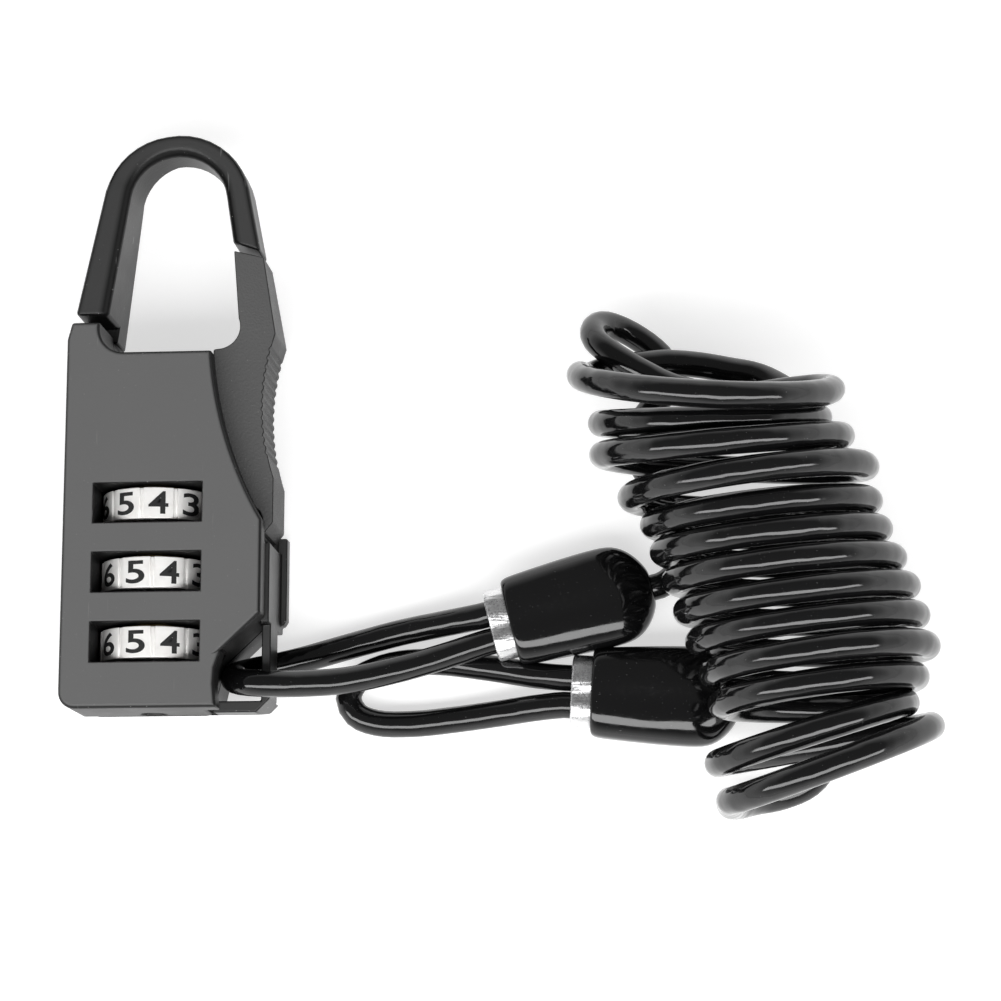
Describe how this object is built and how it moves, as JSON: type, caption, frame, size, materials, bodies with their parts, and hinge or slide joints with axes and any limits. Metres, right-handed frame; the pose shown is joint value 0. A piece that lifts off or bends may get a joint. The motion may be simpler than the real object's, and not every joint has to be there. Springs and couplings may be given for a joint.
{
  "type": "cable lock",
  "caption": "Combination lock with number dials, an open hook closed by a sprung gate, and a coiled coated steel cable with a crimped eye at each end.",
  "frame": {"origin": "centre of the lock body's bounding box, on its back face; the cable and its eyes are left out", "axes": "+X to the gate's side, +Y towards the hook's crown, +Z out of the face with the dial windows"},
  "size_m": [0.1135, 0.0915, 0.0354],
  "materials": {
    "casting": "satin black paint on die-cast zinc",
    "dial": "satin plating with black digits",
    "steel": "bright",
    "brass": "plain",
    "ferrule": "crimped, with tool marks",
    "boot": "glossy moulded vinyl",
    "cable": "glossy vinyl over steel strand"
  },
  "bodies": {
    "case": {"rear_shell": "casting", "front_shell": "casting", "case_screws": "steel", "gate_pin": "steel", "gate_spring": "steel", "spindle_spring": "steel", "detent_spring": "steel", "ferrule_lock": "ferrule", "boot_lock": "boot", "ferrule_free": "ferrule", "boot_free": "boot", "cable_loop_lock": "cable", "cable_lead": "cable", "cable_coil": "cable", "cable_tail": "cable", "cable_loop_free": "cable"},
    "gate": {"gate_lever": "casting"},
    "dial_top": {"dial_1": "dial", "code_sleeve_1": "brass"},
    "dial_middle": {"dial_2": "dial", "code_sleeve_2": "brass"},
    "dial_bottom": {"dial_3": "dial", "code_sleeve_3": "brass"},
    "reset_spindle": {"spindle": "steel", "spindle_clip": "steel"},
    "locking_bar": {"locking_bar": "brass"}
  },
  "joints": [
    {"name": "gate_swing", "type": "hinge", "parent": "case", "child": "gate", "pos_m": [0.0098, -0.0142, 0.008], "axis": [0, 0, 1], "range_deg": [0, 20], "stiffness_Nm_per_rad": 0.02, "springref_deg": -17.19, "deforming": ["gate_spring"]},
    {"name": "dial_1_spin", "type": "hinge", "parent": "case", "child": "dial_top", "pos_m": [-0.00275, -0.01205, 0.00835], "axis": [0, 1, 0], "continuous": true},
    {"name": "dial_2_spin", "type": "hinge", "parent": "case", "child": "dial_middle", "pos_m": [-0.00275, -0.0212, 0.00835], "axis": [0, 1, 0], "continuous": true},
    {"name": "dial_3_spin", "type": "hinge", "parent": "case", "child": "dial_bottom", "pos_m": [-0.00275, -0.03035, 0.00835], "axis": [0, 1, 0], "continuous": true},
    {"name": "reset_push", "type": "slide", "parent": "case", "child": "reset_spindle", "axis": [0, 1, 0], "range_m": [0, 0.0015], "stiffness_N_per_m": 600, "springref_m": -0.0005, "deforming": ["spindle_spring"]},
    {"name": "bar_slide", "type": "slide", "parent": "case", "child": "locking_bar", "axis": [-1, 0, 0], "range_m": [0, 0.001]}
  ],
  "couplings": [
    {"joint": "bar_slide", "follows": "gate_swing", "m_per_rad": 0.00286}
  ]
}
